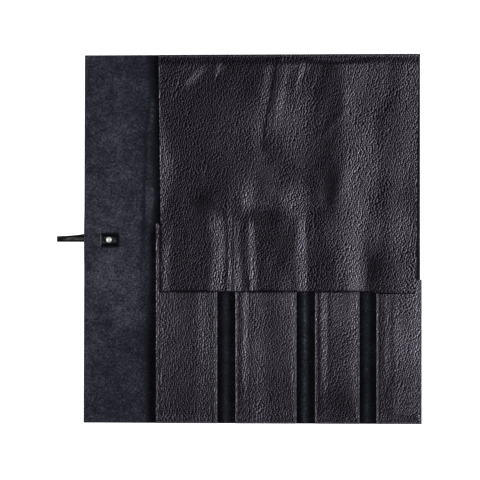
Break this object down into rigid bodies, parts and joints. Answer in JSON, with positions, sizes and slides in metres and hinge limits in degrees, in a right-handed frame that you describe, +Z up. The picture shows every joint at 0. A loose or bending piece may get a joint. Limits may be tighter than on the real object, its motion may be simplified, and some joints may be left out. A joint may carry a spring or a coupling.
{
  "type": "knife roll",
  "caption": "Leather knife roll laid open, with sewn blade pockets side by side, a hinged flap over the handles, a bare wrap panel and a riveted closing strap.",
  "frame": {"origin": "middle of the laid-open hide, on the surface that it lies on", "axes": "+X from the wrap panel towards the last pocket, +Y from the closed ends of the pockets towards the sewn edge of the flap, +Z up out of the suede side"},
  "size_m": [0.4919, 0.5, 0.0124],
  "materials": {
    "suede": "suede flesh side, matt, blue-black",
    "grain_leather": "pebbled grain side, low sheen, black with a violet cast",
    "thread": "waxed thread, black",
    "strap_leather": "smooth strap leather, soft gloss, black",
    "nickel": "nickel plated, polished"
  },
  "bodies": {
    "bay_2": {"back_panel_2": "suede", "pocket_2": "grain_leather", "pocket_stitching_2": "thread", "flap_hem_2": "grain_leather", "hem_stitching_2": "thread"},
    "bay_1": {"back_panel_1": "suede", "pocket_1": "grain_leather", "pocket_stitching_1": "thread", "flap_hem_1": "grain_leather", "hem_stitching_1": "thread"},
    "flap_1": {"flap_panel_1": "grain_leather"},
    "flap_2": {"flap_panel_2": "grain_leather"},
    "bay_3": {"back_panel_3": "suede", "pocket_3": "grain_leather", "pocket_stitching_3": "thread", "flap_hem_3": "grain_leather", "hem_stitching_3": "thread"},
    "flap_3": {"flap_panel_3": "grain_leather"},
    "bay_4": {"back_panel_4": "suede", "pocket_4": "grain_leather", "pocket_stitching_4": "thread", "flap_hem_4": "grain_leather", "hem_stitching_4": "thread"},
    "flap_4": {"flap_panel_4": "grain_leather"},
    "wrap": {"wrap_panel": "suede", "strap_tab": "strap_leather", "closure_strap": "strap_leather", "rivet_cap": "nickel", "rivet_back": "nickel"}
  },
  "joints": [
    {"name": "bay_1_roll", "type": "hinge", "parent": "bay_2", "child": "bay_1", "pos_m": [-0.0358, 0, 0.007], "axis": [0, 1, 0], "range_deg": [0, 90]},
    {"name": "wrap_fold", "type": "hinge", "parent": "bay_1", "child": "wrap", "pos_m": [-0.13845, 0, 0.004], "axis": [0, 1, 0], "range_deg": [0, 90]},
    {"name": "bay_3_roll", "type": "hinge", "parent": "bay_2", "child": "bay_3", "pos_m": [0.0715, 0, 0.007], "axis": [0, -1, 0], "range_deg": [0, 90]},
    {"name": "bay_4_roll", "type": "hinge", "parent": "bay_3", "child": "bay_4", "pos_m": [0.15555, 0, 0.007], "axis": [0, -1, 0], "range_deg": [0, 90]},
    {"name": "flap_1_lift", "type": "hinge", "parent": "bay_1", "child": "flap_1", "pos_m": [-0.08945, 0.24485, 0.0069], "axis": [1, 0, 0], "range_deg": [-179.8, 0]},
    {"name": "flap_2_lift", "type": "hinge", "parent": "bay_2", "child": "flap_2", "pos_m": [0.01785, 0.24485, 0.0069], "axis": [1, 0, 0], "range_deg": [-179.8, 0]},
    {"name": "flap_3_lift", "type": "hinge", "parent": "bay_3", "child": "flap_3", "pos_m": [0.1139, 0.24485, 0.0069], "axis": [1, 0, 0], "range_deg": [-179.8, 0]},
    {"name": "flap_4_lift", "type": "hinge", "parent": "bay_4", "child": "flap_4", "pos_m": [0.1972, 0.24485, 0.0069], "axis": [1, 0, 0], "range_deg": [-179.8, 0]}
  ],
  "couplings": [
    {"joint": "bay_4_roll", "follows": "bay_3_roll", "ratio": 1},
    {"joint": "flap_1_lift", "follows": "flap_2_lift", "ratio": 1},
    {"joint": "flap_3_lift", "follows": "flap_2_lift", "ratio": 1},
    {"joint": "flap_4_lift", "follows": "flap_2_lift", "ratio": 1}
  ]
}
